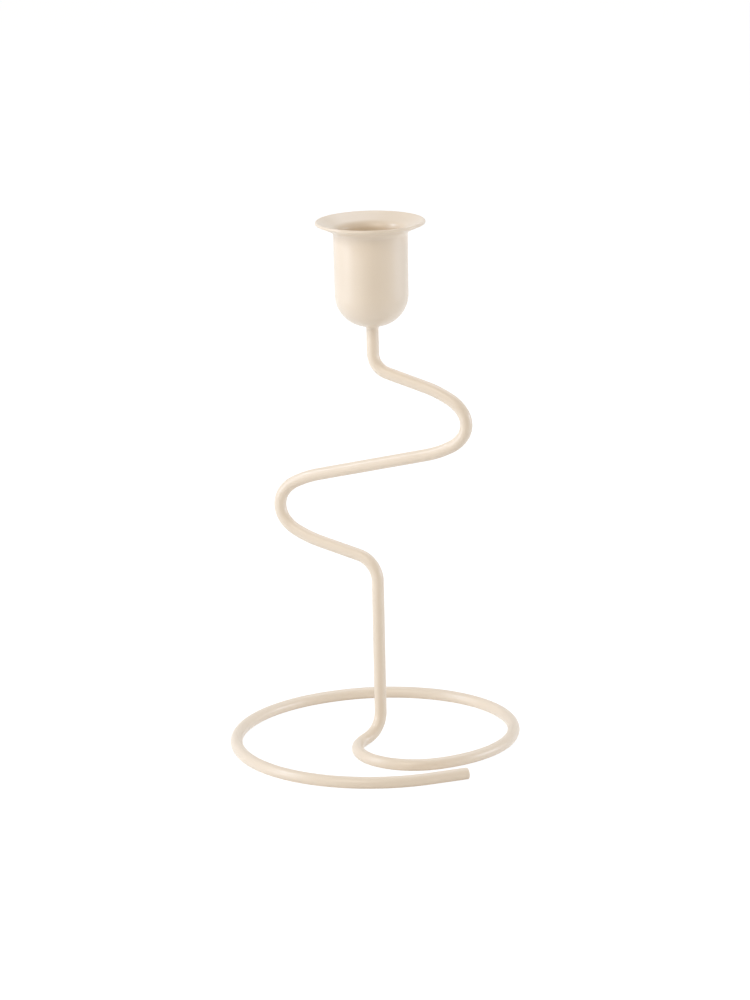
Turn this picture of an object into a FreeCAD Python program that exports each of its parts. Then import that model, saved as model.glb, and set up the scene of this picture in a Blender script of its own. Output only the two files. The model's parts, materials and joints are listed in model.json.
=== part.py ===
import FreeCAD, Part

import math
import os

import Sketcher


# Spiral candle holder: a bent steel rod that carries a pressed cup.
# The rod is one piece: a neck, a flat squiggle of two soft bends, an upright stem, a foot bend and a flat
# spiral base. The squiggle lies in the XZ plane, its upper bend towards +X. +Z is up, and the origin is
# the middle of the base on the table.
# Lengths are in millimetres and angles in degrees. Sizes include the powder coat.
SIZES = [
    # Rod
    ("rod_diameter", "4.2"),
    ("rod_end_rounding", "0.5"),
    ("base_flat_depth", "0.5"),
    # Neck, from the underside of the cup to the first bend
    ("neck_length", "9.5"),
    ("neck_bend_radius", "7"),
    # Squiggle: three runs, each sloping down, and two soft bends that tighten towards their tips
    ("upper_run_slope", "15"),
    ("upper_run_length", "14.7"),
    ("right_lead_radius", "40"),
    ("right_lead_angle", "15"),
    ("right_shoulder_radius", "12.3"),
    ("right_shoulder_angle", "26.5"),
    ("right_tip_radius", "7.5"),
    ("middle_run_slope", "14"),
    ("middle_run_length", "42"),
    ("left_lead_radius", "43"),
    ("left_lead_angle", "13.5"),
    ("left_shoulder_radius", "12"),
    ("left_shoulder_angle", "26.5"),
    ("left_tip_radius", "8.4"),
    ("lower_run_slope", "13.5"),
    ("stem_bend_radius", "9.1"),
    # Stem and foot: the stem dips forwards, levels out as it turns and runs into the base
    ("stem_length", "47.1"),
    ("foot_heading", "-112"),
    ("foot_dip", "15"),
    ("foot_bend_radius", "8.3"),
    ("foot_run_length", "1.2"),
    ("toe_heading", "-75"),
    ("toe_bend_radius", "7.9"),
    # Base: flat arcs, counter-clockwise from above, that open into a spiral, and a straight tail
    # Each arc's radius is a share of the base's widest radius
    ("base_radius", "53.5"),
    ("base_first_radius_share", "0.383"),
    ("base_first_angle", "109"),
    ("base_second_radius_share", "0.424"),
    ("base_second_angle", "11.5"),
    ("base_third_radius_share", "0.759"),
    ("base_third_angle", "54.5"),
    ("base_fourth_radius_share", "0.849"),
    ("base_fourth_angle", "119"),
    ("base_fifth_radius_share", "1"),
    ("base_fifth_angle", "112.5"),
    ("base_last_radius_share", "0.901"),
    ("base_last_angle", "74.5"),
    ("tail_length", "14.1"),
    # Cup
    ("cup_height", "36.35"),
    ("cup_bore_radius", "11.5"),
    ("cup_wall", "1.1"),
    ("cup_draft", "0.1"),
    ("cup_bottom_rounding", "11"),
    ("rim_radius", "18.8"),
    ("rim_slope", "24"),
    ("rim_neck_rounding", "2"),
    ("rim_edge_share", "0.45"),
    # Joint between cup and rod
    ("fillet_leg", "1.4"),
    ("fillet_edge", "0.06"),
    ("plug_weld_radius", "3.4"),
    ("plug_weld_height", "1"),
    # Overrun of every cut past the face that it goes through
    ("cut_overrun", "1"),
]

# The base's flat arcs, in order from the toe
BASE_ARCS = ("first", "second", "third", "fourth", "fifth", "last")

NODES = ("bent_rod", "candle_cup", "neck_fillet", "plug_weld")

HALF_TURN = 180


def make_sheet(doc):
    """Put every size in the spreadsheet, with its name as the alias."""
    sheet = doc.addObject("Spreadsheet::Sheet", "sizes")
    for row, (name, value) in enumerate(SIZES, start=1):
        sheet.set(f"A{row}", name)
        sheet.set(f"B{row}", value)
        sheet.setAlias(f"B{row}", name)
    doc.recompute()
    return sheet


# Rod centreline

class Centreline:
    """Straight runs joined by tangent arcs, from a start point, heading straight down."""

    def __init__(self, start):
        self.point = start
        self.heading = FreeCAD.Vector(0, 0, -1)
        self.edges = []

    def run(self, length):
        """Go straight on."""
        end = self.point + self.heading * length
        self.edges.append(Part.LineSegment(self.point, end).toShape())
        self.point = end

    def bend(self, radius, heading):
        """Turn to a new heading on an arc that is tangent to both headings."""
        turn = self.heading.getAngle(heading)
        side = (heading - self.heading * math.cos(turn)).normalize()

        def along(angle):
            ahead = self.heading * (radius * math.sin(angle))
            return self.point + ahead + side * (radius * (1 - math.cos(angle)))

        middle = along(turn / 2)
        end = along(turn)
        self.edges.append(Part.Arc(self.point, middle, end).toShape())
        self.point = end
        self.heading = heading


def squiggle_heading(angle):
    """Unit vector in the squiggle's plane, at an angle from +X towards +Z."""
    angle = math.radians(angle)
    return FreeCAD.Vector(math.cos(angle), 0, math.sin(angle))


def floor_heading(angle, dip):
    """Unit vector at a plan angle from +X towards +Y, pointing down by the dip."""
    angle = math.radians(angle)
    dip = math.radians(dip)
    level = math.cos(dip)
    return FreeCAD.Vector(level * math.cos(angle), level * math.sin(angle), -math.sin(dip))


def soft_bend(path, sheet, side, start, end):
    """Turn from one squiggle heading to another by a lead, a shoulder, the tip, a shoulder and a lead."""
    lead = getattr(sheet, f"{side}_lead_angle")
    shoulder = getattr(sheet, f"{side}_shoulder_angle")
    tip = abs(end - start) - 2 * (lead + shoulder)
    turns = (("lead", lead), ("shoulder", shoulder), ("tip", tip), ("shoulder", shoulder), ("lead", lead))
    heading = start
    for name, angle in turns:
        heading += math.copysign(angle, end - start)
        path.bend(getattr(sheet, f"{side}_{name}_radius"), squiggle_heading(heading))


def draw_squiggle(path, sheet):
    """Neck, three sloping runs and two soft bends, ending upright under the neck."""
    upper = -sheet.upper_run_slope
    middle = sheet.middle_run_slope - HALF_TURN
    lower = -sheet.lower_run_slope
    path.run(sheet.cup_wall + sheet.neck_length)
    path.bend(sheet.neck_bend_radius, squiggle_heading(upper))
    path.run(sheet.upper_run_length)
    soft_bend(path, sheet, "right", upper, middle)
    path.run(sheet.middle_run_length)
    soft_bend(path, sheet, "left", middle, lower)
    # The lower run is as long as it takes to bring the stem back under the neck
    slope = math.radians(sheet.lower_run_slope)
    bend_reach = sheet.stem_bend_radius * (1 - math.sin(slope))
    path.run((-path.point.x - bend_reach) / math.cos(slope))
    path.bend(sheet.stem_bend_radius, FreeCAD.Vector(0, 0, -1))


def draw_base(path, sheet):
    """Stem, foot, toe and the flat spiral."""
    path.run(sheet.stem_length)
    path.bend(sheet.foot_bend_radius, floor_heading(sheet.foot_heading, sheet.foot_dip))
    path.run(sheet.foot_run_length)
    heading = sheet.toe_heading
    path.bend(sheet.toe_bend_radius, floor_heading(heading, 0))
    for name in BASE_ARCS:
        heading += getattr(sheet, f"base_{name}_angle")
        radius = sheet.base_radius * getattr(sheet, f"base_{name}_radius_share")
        path.bend(radius, floor_heading(heading, 0))
    path.run(sheet.tail_length)


def tube_box(wire, radius):
    """Box round a tube along the wire. Its cut ends reach out less far than its sides do."""
    box = FreeCAD.BoundBox()
    for edge in wire.Edges:
        first, last = edge.ParameterRange
        steps = math.ceil(edge.Length / radius)
        for step in range(steps + 1):
            place = first + (last - first) * step / steps
            reach = [radius * math.sqrt(max(0, 1 - part ** 2)) for part in edge.tangentAt(place)]
            box.add(edge.valueAt(place) + FreeCAD.Vector(*reach))
            box.add(edge.valueAt(place) - FreeCAD.Vector(*reach))
    return box


def make_centreline(doc, sheet):
    """Centreline object, moved so that the rod's middle is at the origin and its flat on the table."""
    path = Centreline(FreeCAD.Vector(0, 0, sheet.cup_wall))
    draw_squiggle(path, sheet)
    draw_base(path, sheet)
    wire = Part.Wire(path.edges)
    box = tube_box(wire, sheet.rod_diameter / 2)
    cup_foot = FreeCAD.Vector(-box.Center.x, -box.Center.y, -box.ZMin - sheet.base_flat_depth)
    wire.translate(cup_foot)
    centreline = doc.addObject("Part::Feature", "rod_centreline")
    centreline.Shape = wire
    centreline.addProperty("App::PropertyVector", "CupFoot", "Places", "Middle of the cup's underside")
    centreline.CupFoot = cup_foot
    centreline.addProperty("App::PropertyFloat", "Reach", "Places", "Radius that takes in the whole base")
    centreline.Reach = wire.BoundBox.DiagonalLength / 2
    return centreline


def least_gap(wire, rod_diameter):
    """Smallest clear gap between base turns, measured on points spaced half a rod apart."""
    base = Part.Wire(wire.Edges[-len(BASE_ARCS) - 1:])
    turn = math.pi * min(edge.Curve.Radius for edge in base.Edges[:-1])
    spacing = rod_diameter / 2
    points = base.discretize(Distance=spacing)
    apart = math.ceil(turn / spacing)
    gaps = [a.distanceToPoint(b) for i, a in enumerate(points) for b in points[i + apart:]]
    return min(gaps) - rod_diameter


# Bodies

def make_body(doc, name):
    """PartDesign body with a label of its own."""
    body = doc.addObject("PartDesign::Body", name)
    body.Label = name
    return body


def origin_plane(body, role):
    """One of the body's own origin planes."""
    return next(plane for plane in body.Origin.OriginFeatures if plane.Role == role)


def add_sketch(body, name, role):
    """Empty sketch on one of the body's origin planes."""
    sketch = body.newObject("Sketcher::SketchObject", name)
    sketch.AttachmentSupport = (origin_plane(body, role), [""])
    sketch.MapMode = "FlatFace"
    return sketch


def draw_circle(sketch, radius_expression):
    """Circle about the sketch's origin, with its radius bound to the sizes."""
    sketch.addGeometry(Part.Circle(), False)
    sketch.addConstraint(Sketcher.Constraint("Coincident", 0, 3, -1, 1))
    sketch.addConstraint(Sketcher.Constraint("Radius", 0, sketch.Geometry[0].Radius))
    sketch.setExpression("Constraints[1]", radius_expression)


def draw_polygon(sketch, corners):
    """Closed outline whose corners are pairs of expressions, each bound to the sizes."""
    count = len(corners)
    for index in range(count):
        angle = 2 * math.pi * index / count
        after = 2 * math.pi * (index + 1) / count
        start = FreeCAD.Vector(math.cos(angle), math.sin(angle), 0)
        end = FreeCAD.Vector(math.cos(after), math.sin(after), 0)
        sketch.addGeometry(Part.LineSegment(start, end), False)
    for index in range(count):
        sketch.addConstraint(Sketcher.Constraint("Coincident", index, 2, (index + 1) % count, 1))
    for index, corner in enumerate(corners):
        start = sketch.getPoint(index, 1)
        places = (("DistanceX", start.x, corner[0]), ("DistanceY", start.y, corner[1]))
        for kind, place, expression in places:
            number = sketch.addConstraint(Sketcher.Constraint(kind, -1, 1, index, 1, place))
            sketch.setExpression(f"Constraints[{number}]", expression)


def circles_at(shape, radius, height):
    """Names of the shape's circular edges about the Z axis at a radius and a height."""
    near = shape.BoundBox.DiagonalLength * 1e-6
    names = []
    for index, edge in enumerate(shape.Edges, start=1):
        if edge.Curve.TypeId != "Part::GeomCircle":
            continue
        centre = edge.Curve.Center
        if abs(edge.Curve.Radius - radius) < near and abs(centre.z - height) < near:
            names.append(f"Edge{index}")
    return names


def add_fillet(body, name, base, edges, radius_expression):
    """Rounding of some edges of the feature before it."""
    if not edges:
        raise RuntimeError(f"{name}: no edge to round")
    fillet = body.newObject("PartDesign::Fillet", name)
    fillet.Base = (base, edges)
    fillet.setExpression("Radius", radius_expression)
    body.Document.recompute()
    return fillet


# Rod

def make_bent_rod(doc, sheet, centreline):
    """Round section carried along the centreline, with its cut end eased and its underside dressed flat."""
    body = make_body(doc, "bent_rod")
    spine = body.newObject("PartDesign::SubShapeBinder", "rod_spine")
    spine.Support = [(centreline, ("",))]
    section = add_sketch(body, "rod_section", "XY_Plane")
    draw_circle(section, "sizes.rod_diameter / 2")
    for axis in "xyz":
        section.setExpression(f"AttachmentOffset.Base.{axis}", f"rod_centreline.CupFoot.{axis}")
    section.setExpression("AttachmentOffset.Base.z", "rod_centreline.CupFoot.z + sizes.cup_wall")
    pipe = body.newObject("PartDesign::AdditivePipe", "rod_pipe")
    pipe.Profile = section
    pipe.Spine = (spine, [])
    doc.recompute()
    tail = centreline.Shape.OrderedVertexes[-1].Point
    ends = [
        f"Edge{index}"
        for index, edge in enumerate(pipe.Shape.Edges, start=1)
        if edge.isClosed() and edge.CenterOfMass.distanceToPoint(tail) < sheet.rod_end_rounding
    ]
    eased = add_fillet(body, "rod_cut_end", pipe, ends, "sizes.rod_end_rounding")
    under = add_sketch(body, "base_flat_area", "XY_Plane")
    draw_circle(under, "rod_centreline.Reach + sizes.cut_overrun")
    flat = body.newObject("PartDesign::Pocket", "base_flat")
    flat.Profile = under
    flat.Type = "Length"
    flat.setExpression("Length", "sizes.base_flat_depth + sizes.cut_overrun")
    flat.Reversed = False
    doc.recompute()
    if not flat.Shape.Volume < eased.Shape.Volume:
        raise RuntimeError("base_flat cuts nothing")
    return body


# Cup

def make_candle_cup(doc, sheet):
    """Turned outline of the cup, rounded corner by corner, with the rod's hole through its floor."""
    body = make_body(doc, "candle_cup")
    bore = "sizes.cup_bore_radius"
    foot = f"{bore} + sizes.cup_wall - sizes.cup_draft"
    neck = f"{bore} + sizes.cup_wall + sizes.cup_draft"
    # The rim's sheet is cut square to its slope. Its two corners lie half a wall from the middle of the lip
    across = "(cos(sizes.rim_slope) - 1 {} sin(sizes.rim_slope)) * sizes.cup_wall / 2"
    upwards = "(sin(sizes.rim_slope) - 1 {} cos(sizes.rim_slope)) * sizes.cup_wall / 2"
    under = (f"sizes.rim_radius + {across.format('+')}", f"sizes.cup_height + {upwards.format('-')}")
    upper = (f"sizes.rim_radius + {across.format('-')}", f"sizes.cup_height + {upwards.format('+')}")
    fall = "{} - ({} - ({})) * tan(sizes.rim_slope)"
    corners = [
        ("0", "0"),
        (foot, "0"),
        (neck, fall.format(under[1], under[0], neck)),
        under,
        upper,
        (bore, fall.format(upper[1], upper[0], bore)),
        (bore, "sizes.cup_wall"),
        ("0", "sizes.cup_wall"),
    ]
    outline = add_sketch(body, "cup_outline", "XZ_Plane")
    draw_polygon(outline, corners)
    turned = body.newObject("PartDesign::Revolution", "cup_turned")
    turned.Profile = outline
    turned.ReferenceAxis = (outline, ["V_Axis"])
    turned.Angle = 360
    doc.recompute()
    places = [outline.getPoint(index, 1) for index in range(len(corners))]
    roundings = (
        ("cup_bottom_outside", (places[1],), "sizes.cup_bottom_rounding"),
        ("cup_bottom_inside", (places[6],), "sizes.cup_bottom_rounding - sizes.cup_wall"),
        ("rim_neck_outside", (places[2],), "sizes.rim_neck_rounding"),
        ("rim_neck_inside", (places[5],), "sizes.rim_neck_rounding + sizes.cup_wall"),
        ("rim_edge", (places[3], places[4]), "sizes.rim_edge_share * sizes.cup_wall"),
    )
    last = turned
    for name, corner_places, radius in roundings:
        edges = [edge for place in corner_places for edge in circles_at(last.Shape, place.x, place.y)]
        last = add_fillet(body, name, last, edges, radius)
    hole = add_sketch(body, "rod_hole_area", "XY_Plane")
    draw_circle(hole, "sizes.rod_diameter / 2")
    pocket = body.newObject("PartDesign::Pocket", "rod_hole")
    pocket.Profile = hole
    pocket.Type = "Length"
    pocket.setExpression("Length", "sizes.cup_wall + sizes.cut_overrun")
    pocket.Reversed = True
    doc.recompute()
    if not pocket.Shape.Volume < last.Shape.Volume:
        raise RuntimeError("rod_hole cuts nothing")
    seat_on_rod(body, "0")
    return body


def seat_on_rod(piece, height_expression):
    """Put a piece on the rod's axis, at a height above the cup's underside."""
    piece.setExpression("Placement.Base.x", "rod_centreline.CupFoot.x")
    piece.setExpression("Placement.Base.y", "rod_centreline.CupFoot.y")
    piece.setExpression("Placement.Base.z", f"rod_centreline.CupFoot.z + ({height_expression})")


# Joint

def cut(doc, name, base, tool):
    """Base less tool."""
    result = doc.addObject("Part::Cut", name)
    result.Label = name
    result.Base = base
    result.Tool = tool
    return result


def make_neck_fillet(doc, cup):
    """Hollow fillet between the rod and the cup's round underside."""
    blank = doc.addObject("Part::Cylinder", "fillet_blank")
    blank.setExpression("Radius", "sizes.rod_diameter / 2 + sizes.fillet_leg")
    blank.setExpression("Height", "sizes.fillet_leg + sizes.cup_wall / 2")
    seat_on_rod(blank, "-sizes.fillet_leg")
    hollow = doc.addObject("Part::Torus", "fillet_hollow")
    hollow.setExpression("Radius1", "sizes.rod_diameter / 2 + sizes.fillet_leg + sizes.fillet_edge")
    hollow.setExpression("Radius2", "sizes.fillet_leg")
    seat_on_rod(hollow, "-sizes.fillet_leg")
    rod_core = doc.addObject("Part::Cylinder", "fillet_core")
    rod_core.setExpression("Radius", "sizes.rod_diameter / 2")
    rod_core.setExpression("Height", "sizes.fillet_leg + sizes.cup_wall + 2 * sizes.cut_overrun")
    seat_on_rod(rod_core, "-sizes.fillet_leg - sizes.cut_overrun")
    hollowed = cut(doc, "fillet_hollowed", blank, hollow)
    bored = cut(doc, "fillet_bored", hollowed, rod_core)
    return cut(doc, "neck_fillet", bored, cup)


def make_plug_weld(doc, cup):
    """Low dome of weld over the rod's end and the floor round it."""
    dome_radius = "(sizes.plug_weld_radius ^ 2 + sizes.plug_weld_height ^ 2) / (2 * sizes.plug_weld_height)"
    dome = doc.addObject("Part::Sphere", "weld_dome")
    dome.setExpression("Radius", dome_radius)
    dome.setExpression("Angle1", f"asin(1 - sizes.plug_weld_height / ({dome_radius}))")
    seat_on_rod(dome, f"sizes.cup_wall + sizes.plug_weld_height - ({dome_radius})")
    return cut(doc, "plug_weld", dome, cup)


# Check and write

def check(doc):
    """Stop on any object that failed, or any piece whose shape is missing or faulty."""
    for item in doc.Objects:
        if "Invalid" in item.State or "Error" in item.State:
            raise RuntimeError(f"{item.Name} failed: {item.State}")
    for name in NODES:
        shape = doc.getObject(name).Shape
        if shape.isNull() or not shape.isValid() or len(shape.Solids) != 1:
            raise RuntimeError(f"{name} is not one valid solid")


def report_sizes(doc, sheet, centreline):
    """Print what a reader would check by hand."""
    wire = centreline.Shape
    radii = [f"{edge.Curve.Radius:.3f}" for edge in wire.Edges if hasattr(edge.Curve, "Radius")]
    section = math.pi * (sheet.rod_diameter / 2) ** 2
    print(f"rod length {wire.Length:.3f}, bend radii", *radii)
    print(f"rod volume {doc.getObject('rod_pipe').Shape.Volume:.3f}")
    print(f"section times length {section * wire.Length:.3f}")
    print(f"least gap between base turns {least_gap(wire, sheet.rod_diameter):.3f}")
    print("cup foot", centreline.CupFoot)
    for name in NODES:
        shape = doc.getObject(name).Shape
        box = shape.BoundBox
        low = f"{box.XMin:.3f} {box.YMin:.3f} {box.ZMin:.3f}"
        high = f"{box.XMax:.3f} {box.YMax:.3f} {box.ZMax:.3f}"
        print(f"{name} from {low} to {high}, volume {shape.Volume:.3f}")


def write(doc):
    """One STEP file for each piece."""
    os.makedirs("parts", exist_ok=True)
    for name in NODES:
        doc.getObject(name).Shape.exportStep(f"parts/{name}.step")


def main():
    doc = FreeCAD.newDocument("spiral_candle_holder")
    sheet = make_sheet(doc)
    centreline = make_centreline(doc, sheet)
    make_bent_rod(doc, sheet, centreline)
    cup = make_candle_cup(doc, sheet)
    make_neck_fillet(doc, cup)
    make_plug_weld(doc, cup)
    doc.recompute()
    check(doc)
    report_sizes(doc, sheet, centreline)
    write(doc)


main()
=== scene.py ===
"""Spiral candle holder in cream powder-coated steel, with its finish and a studio to show it in.

Lengths are in metres. Where one is written in millimetres, it is a number times MM or a default of length().
"""

import json
import math

import bpy
import numpy as np
from mathutils import Matrix, Vector


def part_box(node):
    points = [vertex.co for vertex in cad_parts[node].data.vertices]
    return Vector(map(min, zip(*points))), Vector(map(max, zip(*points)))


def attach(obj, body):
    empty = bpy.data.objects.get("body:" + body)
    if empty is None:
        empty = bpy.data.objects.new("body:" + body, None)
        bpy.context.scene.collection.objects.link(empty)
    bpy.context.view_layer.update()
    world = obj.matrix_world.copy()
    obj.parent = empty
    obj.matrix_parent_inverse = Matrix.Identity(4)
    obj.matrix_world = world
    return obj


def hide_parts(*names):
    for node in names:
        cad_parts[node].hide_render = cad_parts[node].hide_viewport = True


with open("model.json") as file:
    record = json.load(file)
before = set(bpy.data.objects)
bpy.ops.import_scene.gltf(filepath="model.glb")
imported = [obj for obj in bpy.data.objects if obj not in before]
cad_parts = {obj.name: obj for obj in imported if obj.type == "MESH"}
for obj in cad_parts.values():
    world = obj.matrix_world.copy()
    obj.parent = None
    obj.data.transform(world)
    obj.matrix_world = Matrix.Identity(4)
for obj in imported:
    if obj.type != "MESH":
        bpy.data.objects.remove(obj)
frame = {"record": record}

bl_info = {
    "name": "Spiral Candle Holder",
    "version": (1, 0, 0),
    "blender": (4, 5, 0),
    "location": "View3D > Sidebar > Candle Holder",
    "description": "Makes a bent-rod candle holder with a spiral base and a flared cup",
    "category": "Add Mesh",
}

MM = 0.001
TAU = 2 * math.pi

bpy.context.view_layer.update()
MOUNTS = {mount["name"]: mount for mount in frame["record"]["mounts"]}
CUP_AXIS = MOUNTS["candle_socket"]["pos_m"]
CUP_FOOT_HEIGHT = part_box("candle_cup")[0].z
BORE_RADIUS_MM = MOUNTS["candle_socket"]["dims"]["r_mm"]
COAT_NAME = "satin powder-coated steel"

# Fineness of the surfaces: distance between rings or outline points, and counts of sides and steps
RING_SPACING = 0.8 * MM
ROD_SIDES = 72
CUP_SIDES = 240
JOINT_SIDES = 96
CUT_END_STEPS = 8
CORNER_STEPS = 20
FILLET_STEPS = 24
WELD_RINGS = 60

# Range in which Blender's noise, nominally from 0 to 1, mostly stays
NOISE_LOW, NOISE_HIGH = 0.3, 0.7

# Table top: half its width in metres, and how far it lies below the object's flat underside
TABLE_HALF_WIDTH = 6.0
TABLE_DROP = 0.02 * MM

# Camera: height of its picture area in millimetres, and how far it sees in metres
PICTURE_AREA = 36
CAMERA_RANGE = 20

WHITE = (1, 1, 1, 1)


# Properties

def length(name, description, millimetres):
    """Length property with its default in millimetres."""
    return bpy.props.FloatProperty(
        name=name, description=description, default=millimetres * MM, min=0, precision=5, unit="LENGTH"
    )


def angle(name, description, degrees):
    """Angle property with its default in degrees."""
    return bpy.props.FloatProperty(
        name=name, description=description, default=math.radians(degrees), unit="ROTATION"
    )


def share(name, description, default):
    """Property without a unit."""
    return bpy.props.FloatProperty(name=name, description=description, default=default, min=0, precision=3)


def colour(name, description, code):
    """Colour property with its default as a six-digit sRGB code."""
    return bpy.props.FloatVectorProperty(
        name=name, description=description, default=linear(code), min=0, max=1, size=3, subtype="COLOR"
    )


def linear(code):
    """Linear red, green and blue of a six-digit sRGB code."""
    parts = np.array([int(code[start:start + 2], 16) for start in (0, 2, 4)]) / 255
    dark = parts / 12.92
    light = ((parts + 0.055) / 1.055) ** 2.4
    return tuple(np.where(parts <= 0.04045, dark, light))


class CANDLEHOLDER_PG_rod(bpy.types.PropertyGroup):
    """Sizes of the bent rod, from the cup down to the cut end of the spiral."""

    diameter: length("Diameter", "Across the rod and its coat", 4.2)
    end_rounding: length("End rounding", "Rounding of the cut end under its coat", 0.5)
    neck_length: length("Neck length", "From the cup's underside to the first bend", 9.5)
    neck_bend: length("Neck bend", "Radius of the first bend", 7)
    upper_slope: angle("Upper slope", "Fall of the upper run", 15)
    upper_length: length("Upper run", "Straight part of the upper run", 14.7)
    upper_tip: length("Upper tip", "Radius at the tip of the upper bend", 7.5)
    upper_shoulder: length("Upper shoulder", "Radius on each side of the upper tip", 12.3)
    upper_lead: length("Upper lead", "Radius where the upper bend begins and ends", 40)
    upper_lead_turn: angle("Upper lead turn", "Turn of each lead of the upper bend", 15)
    middle_slope: angle("Middle slope", "Fall of the middle run", 14)
    middle_length: length("Middle run", "Straight part of the middle run", 42)
    lower_tip: length("Lower tip", "Radius at the tip of the lower bend", 8.4)
    lower_shoulder: length("Lower shoulder", "Radius on each side of the lower tip", 12)
    lower_lead: length("Lower lead", "Radius where the lower bend begins and ends", 43)
    lower_lead_turn: angle("Lower lead turn", "Turn of each lead of the lower bend", 13.5)
    shoulder_turn: angle("Shoulder turn", "Turn of every shoulder", 26.5)
    lower_slope: angle("Lower slope", "Fall of the lower run", 13.5)
    stem_bend: length("Stem bend", "Radius of the bend into the stem", 9.1)
    stem_length: length("Stem", "Straight part of the stem", 47.1)
    foot_heading: angle("Foot heading", "Plan direction in which the stem leaves the vertical", -112)
    foot_dip: angle("Foot dip", "Slope of the foot below the horizontal", 15)
    foot_bend: length("Foot bend", "Radius of the bend at the stem's foot", 8.3)
    foot_length: length("Foot run", "Straight part between foot and toe", 1.2)
    toe_heading: angle("Toe heading", "Plan direction in which the base begins", -75)
    toe_bend: length("Toe bend", "Radius of the bend that lays the rod flat", 7.9)
    base_radius: length("Base radius", "Radius of the spiral's widest arc", 53.5)
    tail_length: length("Tail", "Straight end of the spiral", 14.1)


class CANDLEHOLDER_PG_cup(bpy.types.PropertyGroup):
    """Sizes of the flared cup and of its joint with the rod."""

    height: length("Height", "From the underside to the rim's top", 36.35)
    bore_radius: length("Bore radius", "Radius of the space for the candle", BORE_RADIUS_MM)
    wall: length("Wall", "Thickness of the sheet and its coat", 1.1)
    draft: length("Draft", "How far the outside lies in at the foot and out at the neck", 0.1)
    bottom_rounding: length("Bottom rounding", "Outside rounding of the bottom", 11)
    rim_radius: length("Rim radius", "Radius of the flared rim", 18.8)
    rim_slope: angle("Rim slope", "Rise of the flare above the horizontal", 24)
    neck_rounding: length("Neck rounding", "Outside rounding between wall and flare", 2)
    edge_share: share("Edge share", "Rounding of the rim's edge as a share of the wall", 0.45)
    fillet_leg: length("Fillet leg", "Radius of the hollow fillet under the cup", 1.4)
    weld_radius: length("Weld radius", "Radius of the weld on the cup's floor", 3.4)
    weld_height: length("Weld height", "Height of the weld on the cup's floor", 1)
    ripple_spacing: length("Ripple spacing", "Distance between the rings left by the torch", 0.45)
    ripple_depth: length("Ripple depth", "Height of those rings", 0.02)


class CANDLEHOLDER_PG_finish(bpy.types.PropertyGroup):
    """Colours and texture of the powder coat."""

    cream: colour("Cream", "Colour of the coat", "F1E0CA")
    rubbed: colour("Rubbed", "Colour where the coat has rubbed on the table", "CFC2AE")
    rub_height: length("Rub height", "How far up from the table the coat is rubbed", 0.2)
    roughness: share("Roughness", "Roughness of the satin coat", 0.3)
    index: share("Index", "Refractive index of the coat's resin", 1.5)
    peel_spacing: length("Peel spacing", "Distance between the waves left by the melted powder", 1.6)
    peel_depth: length("Peel depth", "Height of those waves", 0.006)
    grain_spacing: length("Grain spacing", "Distance between the fine grains in the coat", 0.35)
    grain_depth: length("Grain depth", "Height of those grains", 0.0012)
    drift_spacing: length("Drift spacing", "Distance over which the coat's thickness changes", 25)
    drift_tone: share("Drift tone", "Darkest tone of that change, as a share of the coat's colour", 0.985)


class CANDLEHOLDER_PG_studio(bpy.types.PropertyGroup):
    """Camera and lights."""

    camera_reach: length("Camera reach", "Level distance from the cup's axis to the camera", 1470)
    camera_height: length("Camera height", "Camera above the table", 466.04)
    camera_bearing: angle("Camera bearing", "Bearing of the camera from the cup's axis", 24.985)
    camera_heading: angle("Camera heading", "Direction in which the camera looks", 25)
    camera_pitch: angle("Camera pitch", "How far the camera looks down", 14.463)
    camera_roll: angle("Camera roll", "Turn of the camera about its own axis", 1.2415)
    focal_length: length("Focal length", "Lens, for a picture 36 mm high", 158.63)
    key: share("Key", "Power of the low soft light on the left, in watts", 4.3)
    fill: share("Fill", "Power of the low soft light on the right, in watts", 7.6)
    front: share("Front", "Power of the warm light high up in front, in watts", 6.9)
    top: share("Top", "Power of the small light high up on the left, in watts", 3.6)
    rear: share("Rear", "Power of the soft light high up behind, in watts", 3.4)
    daylight: colour("Daylight", "Colour of the cool lights, as through a clouded window", "DFEBFF")
    bounce: colour("Bounce", "Colour of the warm light that comes back from the walls", "FFF9EE")
    glow: share("Glow", "How much of the table's white is its own, as the camera sees it", 0.9)
    surround: share("Surround", "Strength of the even light from the room", 0.36)
    table: colour("Table", "Colour of the table as it lights the object", "F4F4F4")
    table_seen: colour("Table seen", "Colour that carries the shadow under the table's glow", "8C8C8C")


# Surfaces

def make_piece(name, grid, material, wraps=False, poles=()):
    """Mesh object from a grid of closed rings, one row for each ring.

    Neighbouring rings are joined by quads. wraps joins the last ring to the first. Otherwise a fan of
    triangles closes each end on its pole.
    """
    rows, columns = grid.shape[:2]
    ring = np.arange(columns)
    after = np.roll(ring, -1)
    row = np.arange(rows if wraps else rows - 1)[:, None] * columns
    above = (row + columns) % (rows * columns)
    quads = np.stack([row + ring, row + after, above + after, above + ring], axis=-1)
    faces = quads.reshape(-1, 4).tolist()
    points = grid.reshape(-1, 3)
    if not wraps:
        last_ring = (rows - 1) * columns
        first_pole = np.full(columns, len(points))
        faces += np.stack([after, ring, first_pole], axis=-1).tolist()
        faces += np.stack([last_ring + ring, last_ring + after, first_pole + 1], axis=-1).tolist()
        points = np.vstack([points, poles])
    mesh = bpy.data.meshes.new(name)
    mesh.from_pydata(points.tolist(), [], faces)
    mesh.validate()
    mesh.shade_smooth()
    mesh.materials.append(material)
    piece = bpy.data.objects.new(name, mesh)
    bpy.context.scene.collection.objects.link(piece)
    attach(piece, "root")
    return piece


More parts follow.
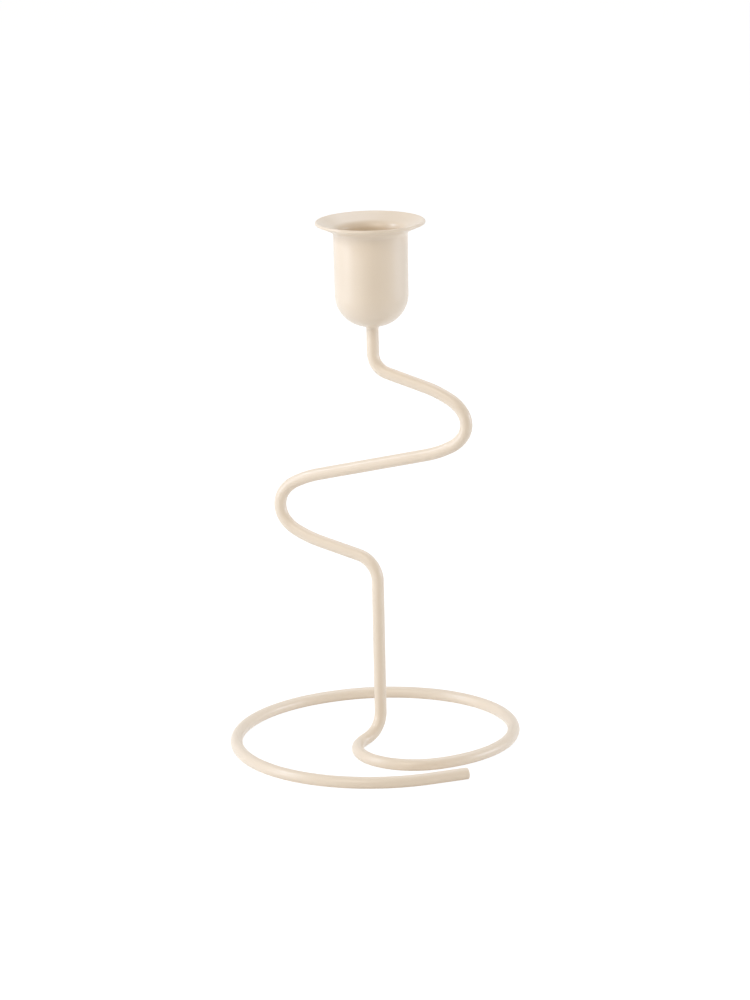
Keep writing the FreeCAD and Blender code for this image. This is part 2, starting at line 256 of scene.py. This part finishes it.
def turned(profile, sides):
    """Surface of revolution about the cup's axis.

    A profile point at radius r and height z becomes the ring (r cos a, r sin a, z), set on the cup's foot.
    """
    turn = np.linspace(0, TAU, sides, endpoint=False)
    radius, height = profile[:, :1], profile[:, 1:]
    across = CUP_AXIS[0] + radius * np.cos(turn)
    deep = CUP_AXIS[1] + radius * np.sin(turn)
    return np.stack([across, deep, CUP_FOOT_HEIGHT + height + 0 * turn], axis=-1)


def rounded_outline(corners, roundings, steps):
    """Closed outline whose corners are replaced by arcs tangent to both of their sides.

    At a corner that turns by an angle t, an arc of radius R begins R tan(t / 2) before the corner and ends
    as far after it. Its centre lies R / cos(t / 2) from the corner on the bisector. A corner with no
    rounding stays sharp.
    """
    corners = np.array(corners)
    back = np.roll(corners, 1, axis=0) - corners
    ahead = np.roll(corners, -1, axis=0) - corners
    back /= np.linalg.norm(back, axis=1, keepdims=True)
    ahead /= np.linalg.norm(ahead, axis=1, keepdims=True)
    outline = []
    for corner, radius, before, after in zip(corners, roundings, back, ahead):
        if radius == 0:
            outline.append(corner[None])
            continue
        turn = math.pi - math.acos(before @ after)
        bisector = (before + after) / np.linalg.norm(before + after)
        centre = corner + bisector * radius / math.cos(turn / 2)
        sweep = np.linspace(-turn / 2, turn / 2, steps)[:, None]
        side = after - bisector * (after @ bisector)
        side /= np.linalg.norm(side)
        outline.append(centre - bisector * radius * np.cos(sweep) + side * radius * np.sin(sweep))
    return np.vstack(outline)


def spaced(outline, spacing):
    """The closed outline with extra points on its long sides, no further apart than the spacing."""
    ends = np.roll(outline, -1, axis=0)
    counts = np.ceil(np.linalg.norm(ends - outline, axis=1) / spacing).astype(int).clip(1)
    side = np.repeat(np.arange(len(outline)), counts)
    step = np.arange(counts.sum()) - np.repeat(np.cumsum(counts) - counts, counts)
    part = (step / counts[side])[:, None]
    return outline[side] * (1 - part) + ends[side] * part


# Rod

def level_heading(turn, dip=0.0):
    """Unit vector at a plan angle from +X towards +Y, pointing down by the dip."""
    return np.array([math.cos(dip) * math.cos(turn), math.cos(dip) * math.sin(turn), -math.sin(dip)])


def upright_heading(turn):
    """Unit vector in the squiggle's plane, at an angle from +X towards +Z."""
    return np.array([math.cos(turn), 0.0, math.sin(turn)])


class Route:
    """Straight runs and tangent arcs, sampled with a side vector that turns with the rod."""

    def __init__(self, start, heading, side, spacing):
        self.place = np.array(start, float)
        self.heading = np.array(heading, float)
        self.side = np.array(side, float)
        self.spacing = spacing
        self.places, self.headings, self.sides = [self.place[None]], [self.heading[None]], [self.side[None]]

    def keep(self, places, headings, sides):
        """Add samples and go on from the last one."""
        self.places.append(places)
        self.headings.append(headings)
        self.sides.append(sides)
        self.place, self.heading, self.side = places[-1], headings[-1], sides[-1]

    def run(self, reach):
        """Straight run: place + heading * s, with heading and side unchanged."""
        steps = max(1, math.ceil(reach / self.spacing))
        along = np.linspace(0, reach, steps + 1)[1:, None]
        headings, sides = np.tile(self.heading, (steps, 1)), np.tile(self.side, (steps, 1))
        self.keep(self.place + along * self.heading, headings, sides)

    def bend(self, radius, heading):
        """Arc of a radius that turns the route to a new heading.

        With the centre at place + radius * inward, the place after an angle a is
        place + radius * (sin a * heading + (1 - cos a) * inward), and the side vector turns by a about the
        arc's axis, heading x inward.
        """
        turn = math.acos(np.clip(self.heading @ heading, -1, 1))
        inward = heading - self.heading * math.cos(turn)
        inward /= np.linalg.norm(inward)
        axis = np.cross(self.heading, inward)
        steps = max(2, math.ceil(radius * turn / self.spacing))
        swing = np.linspace(0, turn, steps + 1)[1:, None]
        places = self.place + radius * (np.sin(swing) * self.heading + (1 - np.cos(swing)) * inward)
        headings = np.cos(swing) * self.heading + np.sin(swing) * inward
        fixed = axis * (axis @ self.side)
        sides = fixed + np.cos(swing) * (self.side - fixed) + np.sin(swing) * np.cross(axis, self.side)
        self.keep(places, headings, sides)


# Share of the base radius, and turn in degrees, of each arc of the flat spiral
BASE_ARC_SHARES = ((0.383, 109), (0.424, 11.5), (0.759, 54.5), (0.849, 119), (1, 112.5), (0.901, 74.5))


def soft_bend(route, size, which, start, end):
    """Lead, shoulder, tip, shoulder and lead, from one slope to another."""
    lead_turn = getattr(size, f"{which}_lead_turn")
    lead, shoulder, tip = (getattr(size, f"{which}_{part}") for part in ("lead", "shoulder", "tip"))
    tip_turn = abs(end - start) - 2 * (lead_turn + size.shoulder_turn)
    turn = start
    for radius, part in (
        (lead, lead_turn),
        (shoulder, size.shoulder_turn),
        (tip, tip_turn),
        (shoulder, size.shoulder_turn),
        (lead, lead_turn),
    ):
        turn += math.copysign(part, end - start)
        route.bend(radius, upright_heading(turn))


def rod_route(size, wall, spacing):
    """Centreline of the rod from the cup's floor to where the rounding of its cut end begins."""
    start = (CUP_AXIS[0], CUP_AXIS[1], CUP_FOOT_HEIGHT + wall)
    route = Route(start, (0, 0, -1), (0, 1, 0), spacing)
    route.run(wall + size.neck_length)
    upper, middle, lower = -size.upper_slope, size.middle_slope - math.pi, -size.lower_slope
    route.bend(size.neck_bend, upright_heading(upper))
    route.run(size.upper_length)
    soft_bend(route, size, "upper", upper, middle)
    route.run(size.middle_length)
    soft_bend(route, size, "lower", middle, lower)
    bend_reach = size.stem_bend * (1 - math.sin(size.lower_slope))
    route.run((CUP_AXIS[0] - route.place[0] - bend_reach) / math.cos(size.lower_slope))
    route.bend(size.stem_bend, np.array([0.0, 0.0, -1.0]))
    route.run(size.stem_length)
    route.bend(size.foot_bend, level_heading(size.foot_heading, size.foot_dip))
    route.run(size.foot_length)
    turn = size.toe_heading
    route.bend(size.toe_bend, level_heading(turn))
    for radius_share, degrees in BASE_ARC_SHARES:
        turn += math.radians(degrees)
        route.bend(size.base_radius * radius_share, level_heading(turn))
    route.run(size.tail_length - size.end_rounding)
    return route


def rod_rings(route, radius, rounding, steps):
    """Places, headings, sides and radii of the rod's rings.

    The route stops short of the cut end by the rounding. A quarter circle goes on from there: after an
    angle a the ring lies rounding * sin a further on and is rounding * (1 - cos a) smaller.
    """
    places, headings, sides = (np.vstack(part) for part in (route.places, route.headings, route.sides))
    swing = np.linspace(0, math.pi / 2, steps + 1)[1:, None]
    lip = places[-1] + rounding * np.sin(swing) * headings[-1]
    shrunk = radius - rounding * (1 - np.cos(swing[:, 0]))
    return (
        np.vstack([places, lip]),
        np.vstack([headings, np.tile(headings[-1], (steps, 1))]),
        np.vstack([sides, np.tile(sides[-1], (steps, 1))]),
        np.concatenate([np.full(len(places), radius), shrunk])[:, None, None],
    )


class CANDLEHOLDER_OT_rod(bpy.types.Operator):
    """Make the bent rod as a round section carried along its route and dressed flat underneath"""

    bl_idname = "candleholder.rod"
    bl_label = "Bent Rod"

    def execute(self, context):
        size = context.scene.candleholder_rod
        cup = context.scene.candleholder_cup
        route = rod_route(size, cup.wall, RING_SPACING)
        rings = rod_rings(route, size.diameter / 2, size.end_rounding, CUT_END_STEPS)
        places, headings, sides, radii = rings
        across = np.cross(headings, sides)
        turn = np.linspace(0, TAU, ROD_SIDES, endpoint=False)[:, None]
        # Point of the section: place + r (cos a * side + sin a * heading x side)
        spokes = np.cos(turn) * sides[:, None] + np.sin(turn) * across[:, None]
        grid = places[:, None] + radii * spokes
        # The table side of the base is flat: nothing lies lower than the table
        grid[..., 2] = grid[..., 2].clip(0)
        poles = (places[0], places[-1])
        rod = make_piece("coated_rod", grid, powder_coat(context), poles=poles)
        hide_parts("bent_rod")
        return {"FINISHED"}


# Cup

def cup_outline(size, hole_radius):
    """Section of the cup, from its hole round the outside to the rim and down the inside."""
    foot = size.bore_radius + size.wall - size.draft
    neck = size.bore_radius + size.wall + size.draft
    rise, level = math.sin(size.rim_slope), math.cos(size.rim_slope)
    half = size.wall / 2
    under = (size.rim_radius + half * (level - 1 + rise), size.height + half * (rise - 1 - level))
    upper = (size.rim_radius + half * (level - 1 - rise), size.height + half * (rise - 1 + level))
    fall = math.tan(size.rim_slope)
    edge = size.edge_share * size.wall
    # Corners as radius and height, each with its rounding
    corners = (
        ((hole_radius, 0), 0),
        ((foot, 0), size.bottom_rounding),
        ((neck, under[1] - (under[0] - neck) * fall), size.neck_rounding),
        (under, edge),
        (upper, edge),
        ((size.bore_radius, upper[1] - (upper[0] - size.bore_radius) * fall),
         size.neck_rounding + size.wall),
        ((size.bore_radius, size.wall), size.bottom_rounding - size.wall),
        ((hole_radius, size.wall), 0),
    )
    places, roundings = zip(*corners)
    return rounded_outline(places, roundings, CORNER_STEPS)


class CANDLEHOLDER_OT_cup(bpy.types.Operator):
    """Make the pressed cup as a turned surface"""

    bl_idname = "candleholder.cup"
    bl_label = "Candle Cup"

    def execute(self, context):
        size = context.scene.candleholder_cup
        hole_radius = context.scene.candleholder_rod.diameter / 2
        outline = spaced(cup_outline(size, hole_radius), RING_SPACING)
        grid = turned(outline, CUP_SIDES)
        cup = make_piece("flared_cup", grid, powder_coat(context), wraps=True)
        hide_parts("candle_cup")
        return {"FINISHED"}


# Joint

def fillet_profile(size, rod_radius, steps):
    """Section of the hollow fillet: an arc that is tangent to the rod and to the cup's round underside.

    The underside is a circle of radius B about (c, B). The arc's radius is F and its centre lies F outside
    the rod, at a distance B + F from the other centre, so it is at a height of
    B - sqrt((B + F)^2 - (r + F - c)^2).
    """
    leg, bottom = size.fillet_leg, size.bottom_rounding
    bottom_centre = size.bore_radius + size.wall - size.draft - bottom
    out = rod_radius + leg
    height = bottom - math.sqrt((bottom + leg) ** 2 - (out - bottom_centre) ** 2)
    touch = math.atan2(bottom - height, bottom_centre - out)
    swing = np.linspace(math.pi, touch, steps)[:, None]
    hollow = np.hstack([out + leg * np.cos(swing), height + leg * np.sin(swing)])
    buried = rod_radius - size.wall / 4
    top = size.wall / 2
    return np.vstack([hollow, [[hollow[-1, 0], top], [buried, top], [buried, height]]])


class CANDLEHOLDER_OT_joint(bpy.types.Operator):
    """Make the hollow fillet under the cup and the weld on its floor"""

    bl_idname = "candleholder.joint"
    bl_label = "Welded Joint"

    def execute(self, context):
        size = context.scene.candleholder_cup
        rod_radius = context.scene.candleholder_rod.diameter / 2
        coat = powder_coat(context)
        profile = fillet_profile(size, rod_radius, FILLET_STEPS)
        fillet = make_piece("neck_weld", turned(profile, JOINT_SIDES), coat, wraps=True)
        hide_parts("neck_fillet")
        # Dome: height * (1 - (r / radius) squared), with rings left by the moving torch
        radius = np.linspace(size.weld_radius, 0, WELD_RINGS)[:-1, None]
        cap = size.weld_height * (1 - (radius / size.weld_radius) ** 2)
        ripple = size.ripple_depth * np.sin(radius / size.ripple_spacing * TAU)
        dome = np.hstack([radius, size.wall + cap + ripple])
        skirt = np.array([[size.weld_radius, size.wall / 2]])
        grid = turned(np.vstack([skirt, dome]), JOINT_SIDES)
        axis = np.array([CUP_AXIS[0], CUP_AXIS[1], CUP_FOOT_HEIGHT])
        poles = axis + np.array([[0, 0, size.wall / 2], [0, 0, size.wall + size.weld_height]])
        weld = make_piece("floor_weld", grid, coat, poles=poles)
        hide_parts("plug_weld")
        return {"FINISHED"}


# Finish

def add_node(tree, kind, inputs=None, **settings):
    """Node with its settings. An input is given a value, or linked if it is another node's output."""
    node = tree.nodes.new(kind)
    for name, value in settings.items():
        setattr(node, name, value)
    for name, value in (inputs or {}).items():
        if isinstance(value, bpy.types.NodeSocket):
            tree.links.new(value, node.inputs[name])
        else:
            node.inputs[name].default_value = value
    return node


def powder_coat(context):
    """Powder coat on mild steel, sprayed dry and melted in an oven, the same on every piece.

    The melted powder levels into a satin skin with low waves, the orange peel, and a fine grain. Where the
    base stands on the table the coat is rubbed.
    """
    if COAT_NAME in bpy.data.materials:
        return bpy.data.materials[COAT_NAME]
    finish = context.scene.candleholder_finish
    material = bpy.data.materials.new(COAT_NAME)
    material.use_nodes = True
    tree = material.node_tree
    tree.nodes.clear()
    place = add_node(tree, "ShaderNodeTexCoord").outputs["Object"]
    peel = add_node(
        tree, "ShaderNodeTexNoise", {"Vector": place, "Scale": 1 / finish.peel_spacing, "Detail": 1.0}
    ).outputs["Fac"]
    grain = add_node(
        tree, "ShaderNodeTexNoise", {"Vector": place, "Scale": 1 / finish.grain_spacing, "Detail": 2.0}
    ).outputs["Fac"]
    waves = add_node(
        tree, "ShaderNodeBump", {"Height": peel, "Distance": finish.peel_depth, "Strength": 1.0}
    ).outputs["Normal"]
    skin = add_node(
        tree, "ShaderNodeBump",
        {"Height": grain, "Distance": finish.grain_depth, "Strength": 1.0, "Normal": waves},
    ).outputs["Normal"]
    # Slow drift of the coat's thickness, which shows as a slight change of tone
    drift = add_node(
        tree, "ShaderNodeTexNoise", {"Vector": place, "Scale": 1 / finish.drift_spacing, "Detail": 2.0}
    ).outputs["Fac"]
    tone = add_node(
        tree, "ShaderNodeMapRange",
        {
            "Value": drift, "From Min": NOISE_LOW, "From Max": NOISE_HIGH,
            "To Min": finish.drift_tone, "To Max": 1.0,
        },
    ).outputs["Result"]
    cream = add_node(
        tree, "ShaderNodeMix", {"Factor": 1.0, "A": (*finish.cream, 1), "B": tone}, data_type="RGBA",
        blend_type="MULTIPLY",
    )
    # Rubbed strip: the lowest tenth of a millimetre or so, with a ragged edge
    height = add_node(tree, "ShaderNodeSeparateXYZ", {"Vector": place}).outputs["Z"]
    ragged = add_node(
        tree, "ShaderNodeMath", {0: peel, 1: finish.rub_height, 2: height}, operation="MULTIPLY_ADD"
    ).outputs["Value"]
    rub = add_node(
        tree, "ShaderNodeMapRange",
        {"Value": ragged, "From Min": finish.rub_height, "From Max": 0.0, "To Min": 0.0, "To Max": 1.0},
    ).outputs["Result"]
    worn = add_node(
        tree, "ShaderNodeMix", {"Factor": rub, "A": cream.outputs["Result"], "B": (*finish.rubbed, 1)},
        data_type="RGBA",
    )
    shader = add_node(
        tree, "ShaderNodeBsdfPrincipled",
        {
            "Base Color": worn.outputs["Result"], "Normal": skin,
            "Roughness": finish.roughness, "IOR": finish.index,
        },
    )
    add_node(tree, "ShaderNodeOutputMaterial", {"Surface": shader.outputs["BSDF"]})
    return material


# Studio

# Lamp and its tint, width in metres, turn from the camera's side and lift in degrees, reach in metres
LAMPS = (
    ("key", "daylight", 0.5, -78, 8, 1.1),
    ("fill", "daylight", 0.7, 90, 4, 1.2),
    ("front", "bounce", 0.7, -22, 40, 1.7),
    ("top", "daylight", 0.25, -92, 40, 1.2),
    ("rear", "daylight", 0.8, 150, 60, 1.2),
)


def make_light(name, power, tint, size, bearing, lift, reach, target):
    """Square soft light that faces the target from a bearing and a lift above the horizon."""
    light = bpy.data.lights.new(name, "AREA")
    light.shape = "SQUARE"
    light.size = size
    light.energy = power
    light.color = tint
    lamp = bpy.data.objects.new(name, light)
    away = Vector((math.sin(bearing) * math.cos(lift), -math.cos(bearing) * math.cos(lift), math.sin(lift)))
    lamp.location = target + away * reach
    lamp.rotation_euler = away.to_track_quat("Z", "Y").to_euler()
    bpy.context.scene.collection.objects.link(lamp)


def seen_directly(tree):
    """Output that is 1 for camera, glossy and transmission rays, and 0 for rays that light the object."""
    ray = add_node(tree, "ShaderNodeLightPath").outputs
    mirrored = add_node(
        tree, "ShaderNodeMath", {0: ray["Is Camera Ray"], 1: ray["Is Glossy Ray"]}, operation="ADD"
    ).outputs["Value"]
    return add_node(
        tree, "ShaderNodeMath", {0: mirrored, 1: ray["Is Transmission Ray"]},
        operation="ADD", use_clamp=True,
    ).outputs["Value"]


def table_material(studio):
    """White table, matt, that shows pure white to the camera but for the object's shadow."""
    material = bpy.data.materials.new("white laminate table")
    material.use_nodes = True
    tree = material.node_tree
    tree.nodes.clear()
    matt = add_node(tree, "ShaderNodeBsdfDiffuse", {"Color": (*studio.table, 1)}).outputs["BSDF"]
    shaded = add_node(tree, "ShaderNodeBsdfDiffuse", {"Color": (*studio.table_seen, 1)}).outputs["BSDF"]
    glow = add_node(
        tree, "ShaderNodeEmission", {"Color": WHITE, "Strength": studio.glow}
    ).outputs["Emission"]
    seen = add_node(tree, "ShaderNodeAddShader", {0: shaded, 1: glow}).outputs["Shader"]
    mix = add_node(tree, "ShaderNodeMixShader", {"Fac": seen_directly(tree), 1: matt, 2: seen})
    add_node(tree, "ShaderNodeOutputMaterial", {"Surface": mix.outputs["Shader"]})
    return material


class CANDLEHOLDER_OT_studio(bpy.types.Operator):
    """Set up the table, the room, the lights and the camera"""

    bl_idname = "candleholder.studio"
    bl_label = "Studio"

    def execute(self, context):
        studio = context.scene.candleholder_studio
        self.lay_table(studio)
        self.light_room(context, studio)
        self.set_camera(context, studio)
        context.scene.view_settings.view_transform = "Standard"
        return {"FINISHED"}

    def lay_table(self, studio):
        """Flat square table top, just under the object."""
        half, top = TABLE_HALF_WIDTH, -TABLE_DROP
        corners = [(-half, -half, top), (half, -half, top), (half, half, top), (-half, half, top)]
        mesh = bpy.data.meshes.new("table")
        mesh.from_pydata(corners, [], [(0, 1, 2, 3)])
        mesh.materials.append(table_material(studio))
        table = bpy.data.objects.new("table", mesh)
        bpy.context.scene.collection.objects.link(table)

    def light_room(self, context, studio):
        """Even room light, white to the camera, and five soft lights."""
        world = bpy.data.worlds.new("white room")
        world.use_nodes = True
        tree = world.node_tree
        tree.nodes.clear()
        room = add_node(
            tree, "ShaderNodeBackground", {"Color": (*studio.bounce, 1), "Strength": studio.surround}
        ).outputs["Background"]
        white = add_node(
            tree, "ShaderNodeBackground", {"Color": WHITE, "Strength": 1.0}
        ).outputs["Background"]
        mix = add_node(tree, "ShaderNodeMixShader", {"Fac": seen_directly(tree), 1: room, 2: white})
        add_node(tree, "ShaderNodeOutputWorld", {"Surface": mix.outputs["Shader"]})
        context.scene.world = world
        target = Vector((CUP_AXIS[0], CUP_AXIS[1], CUP_FOOT_HEIGHT / 2))
        for name, tint, width, turn, lift, reach in LAMPS:
            power, shade = getattr(studio, name), getattr(studio, tint)
            bearing = studio.camera_heading + math.radians(turn)
            make_light(name, power, shade, width, bearing, math.radians(lift), reach, target)

    def set_camera(self, context, studio):
        """Camera on its bearing from the cup, heading towards it, pitched down and rolled."""
        heading, pitch, roll = studio.camera_heading, studio.camera_pitch, studio.camera_roll
        bearing = studio.camera_bearing
        camera = bpy.data.cameras.new("camera")
        camera.lens = studio.focal_length / MM
        camera.sensor_width = PICTURE_AREA
        camera.clip_end = CAMERA_RANGE
        holder = bpy.data.objects.new("camera", camera)
        place = Vector((
            CUP_AXIS[0] + studio.camera_reach * math.sin(bearing),
            CUP_AXIS[1] - studio.camera_reach * math.cos(bearing),
            studio.camera_height,
        ))
        turn = Matrix.Rotation(heading, 4, "Z") @ Matrix.Rotation(math.pi / 2 - pitch, 4, "X")
        holder.matrix_world = Matrix.Translation(place) @ turn @ Matrix.Rotation(-roll, 4, "Z")
        context.scene.collection.objects.link(holder)
        context.scene.camera = holder


# Add-on

class CANDLEHOLDER_PT_panel(bpy.types.Panel):
    """Buttons that make each piece, in the order in which they are made"""

    bl_idname = "CANDLEHOLDER_PT_panel"
    bl_label = "Candle Holder"
    bl_space_type = "VIEW_3D"
    bl_region_type = "UI"
    bl_category = "Candle Holder"

    def draw(self, context):
        for operator in OPERATORS:
            self.layout.operator(operator.bl_idname)
        for group, kind in GROUPS.items():
            box = self.layout.box()
            box.label(text=group.removeprefix("candleholder_").capitalize())
            for name in kind.__annotations__:
                box.prop(getattr(context.scene, group), name)


GROUPS = {
    "candleholder_rod": CANDLEHOLDER_PG_rod,
    "candleholder_cup": CANDLEHOLDER_PG_cup,
    "candleholder_finish": CANDLEHOLDER_PG_finish,
    "candleholder_studio": CANDLEHOLDER_PG_studio,
}
OPERATORS = (CANDLEHOLDER_OT_rod, CANDLEHOLDER_OT_cup, CANDLEHOLDER_OT_joint, CANDLEHOLDER_OT_studio)


def register():
    for group, kind in GROUPS.items():
        bpy.utils.register_class(kind)
        setattr(bpy.types.Scene, group, bpy.props.PointerProperty(type=kind))
    for kind in (*OPERATORS, CANDLEHOLDER_PT_panel):
        bpy.utils.register_class(kind)


def unregister():
    for kind in reversed((*OPERATORS, CANDLEHOLDER_PT_panel)):
        bpy.utils.unregister_class(kind)
    for group, kind in reversed(GROUPS.items()):
        delattr(bpy.types.Scene, group)
        bpy.utils.unregister_class(kind)


def main():
    register()
    bpy.ops.candleholder.rod()
    bpy.ops.candleholder.cup()
    bpy.ops.candleholder.joint()
    bpy.ops.candleholder.studio()


if __name__ == "__main__":
    main()
